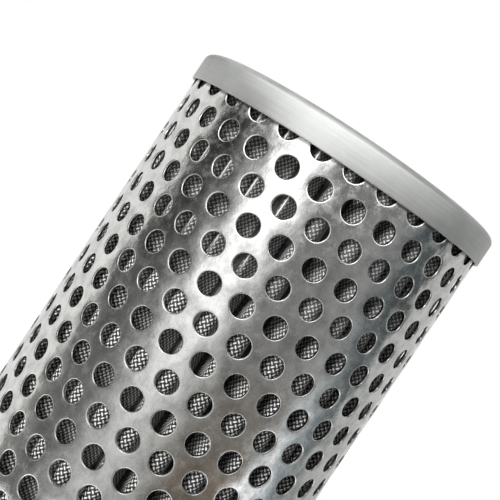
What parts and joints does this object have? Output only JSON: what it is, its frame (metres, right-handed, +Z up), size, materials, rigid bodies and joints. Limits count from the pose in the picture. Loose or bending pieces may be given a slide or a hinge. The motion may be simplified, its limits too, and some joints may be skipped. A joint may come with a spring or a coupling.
{
  "type": "hydraulic suction strainer",
  "caption": "Cylindrical suction strainer: pleated wire mesh round a perforated core inside a perforated metal tube, with a closed drawn cap and a hexagonal threaded outlet.",
  "frame": {"origin": "middle of the outlet fitting's lower face, which the strainer stands on", "axes": "+Z up along the axis from the outlet to the closed cap; the tube's seam faces +Y"},
  "size_m": [0.0838, 0.0838, 0.1395],
  "materials": {
    "tinplate": "bright rolled tinplate, lightly smudged and mottled",
    "zinc_sheet": "satin zinc-plated drawn sheet",
    "wire_mesh": "plain woven stainless wire, laid on the bias",
    "clip_sheet": "bright folded strip",
    "core_sheet": "bright perforated sheet",
    "resin": "dark cast epoxy resin",
    "zinc_steel": "turned and zinc-plated steel"
  },
  "bodies": {
    "root": {"closed_end_cap": "zinc_sheet", "perforated_tube": "tinplate", "pleated_mesh": "wire_mesh", "pleat_seam_clip": "clip_sheet", "core_tube": "core_sheet", "upper_resin": "resin", "lower_resin": "resin", "outlet_end_cap": "zinc_sheet", "outlet_fitting": "zinc_steel"}
  },
  "joints": []
}
